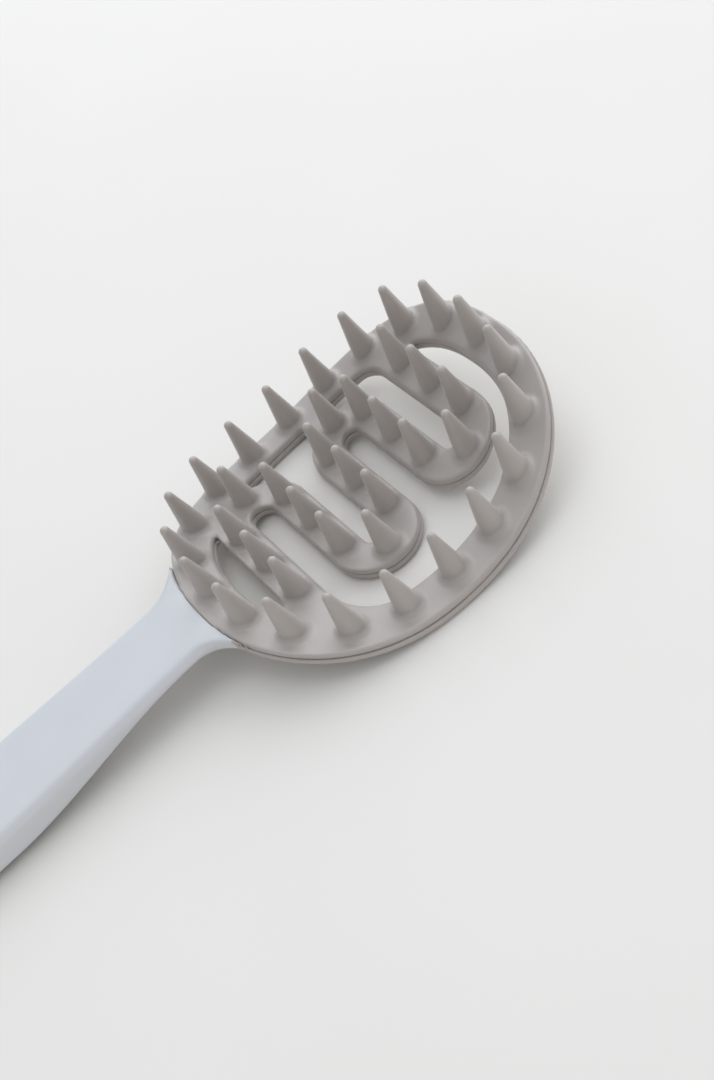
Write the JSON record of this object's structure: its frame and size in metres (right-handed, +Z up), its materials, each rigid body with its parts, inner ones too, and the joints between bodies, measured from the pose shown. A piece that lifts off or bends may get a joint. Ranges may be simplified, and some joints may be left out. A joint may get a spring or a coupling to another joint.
{
  "type": "scalp massager brush",
  "caption": "Hand-held scalp massager with a curved oval ring and serpentine head, soft cone teeth on its concave side and a flat closed handle",
  "frame": {"origin": "centre of the bounding box in plan, at the level of the table the brush lies on, teeth up", "axes": "+X runs from the handle's end to the tip of the head, +Y across the head, +Z up out of the teeth"},
  "size_m": [0.2148, 0.0856, 0.0337],
  "materials": {
    "frame": "satin pale grey-lavender plastic",
    "pad": "matte warm grey soft rubber",
    "cover": "satin pale grey-lavender plastic"
  },
  "bodies": {
    "root": {"comb_frame": "frame", "tooth_pad": "pad", "handle_cover": "cover"}
  },
  "joints": []
}
